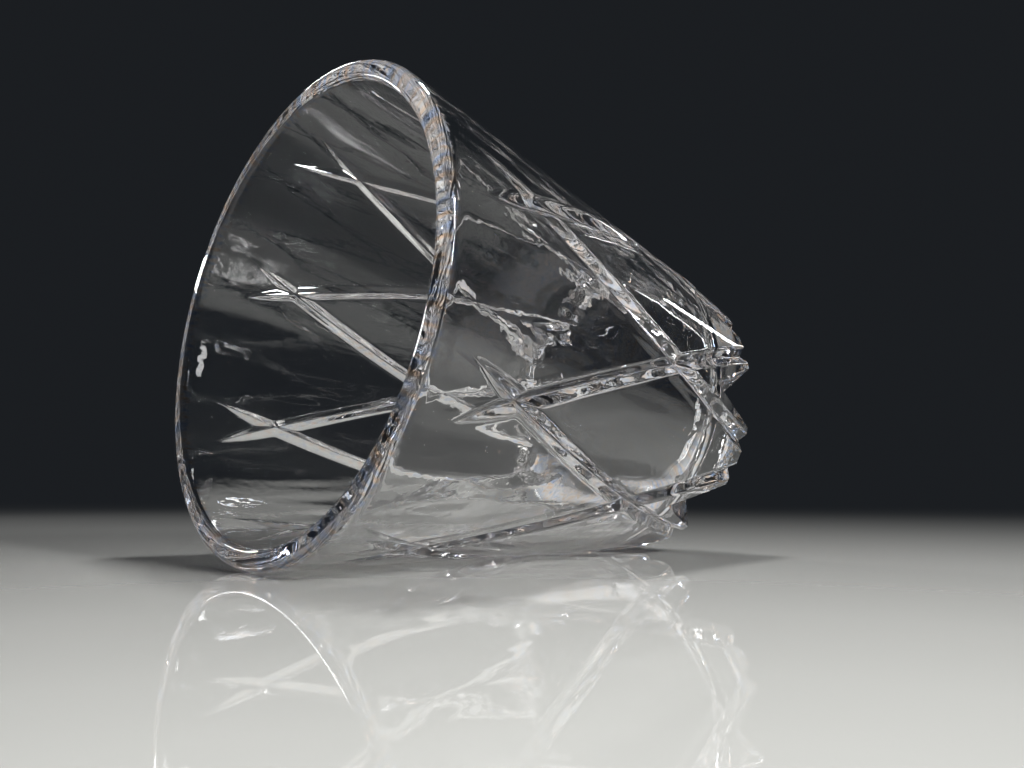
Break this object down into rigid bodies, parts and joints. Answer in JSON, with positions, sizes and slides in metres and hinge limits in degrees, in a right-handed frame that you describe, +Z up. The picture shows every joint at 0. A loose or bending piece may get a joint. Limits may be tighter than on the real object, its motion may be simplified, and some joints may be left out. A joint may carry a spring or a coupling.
{
  "type": "cut crystal tumbler",
  "caption": "Short tapered drinking glass of clear cut crystal, with crossing V grooves wound over the wall and a notched, crown-like foot.",
  "frame": {"origin": "middle of the flat underside of the foot", "axes": "+Z up along the axis of the glass, from foot to rim; +X and +Y each point through the middle of a foot notch"},
  "size_m": [0.09, 0.09, 0.097],
  "materials": {
    "crystal": "clear lead crystal, mitre cut and acid polished"
  },
  "bodies": {
    "root": {"tumbler_body": "crystal"}
  },
  "joints": []
}
